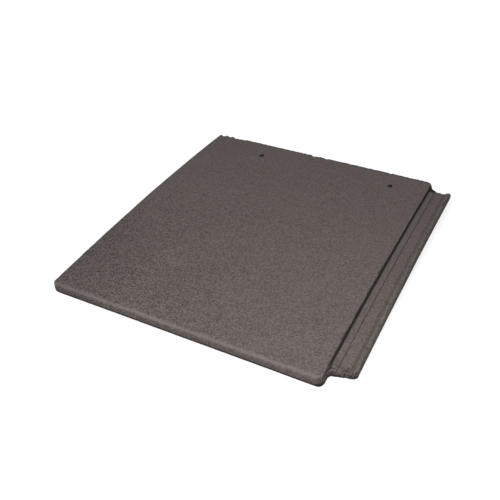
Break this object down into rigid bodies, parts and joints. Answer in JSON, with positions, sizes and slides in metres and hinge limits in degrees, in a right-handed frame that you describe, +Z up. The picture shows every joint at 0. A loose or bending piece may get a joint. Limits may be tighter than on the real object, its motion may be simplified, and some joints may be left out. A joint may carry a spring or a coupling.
{
  "type": "concrete roof tile",
  "caption": "Flat interlocking concrete roof tile with a rounded nose, a stepped lock along one side, a cover lock under the other, nail holes and hanging nibs.",
  "frame": {"origin": "on the floor below the middle of the tile's length and width", "axes": "+X across the tile to the side lock, +Y from the nose to the head, +Z up out of the face"},
  "size_m": [0.38, 0.43, 0.0301],
  "materials": {
    "concrete": "fine-grained, matt"
  },
  "bodies": {
    "root": {"roof_tile": "concrete"}
  },
  "joints": []
}
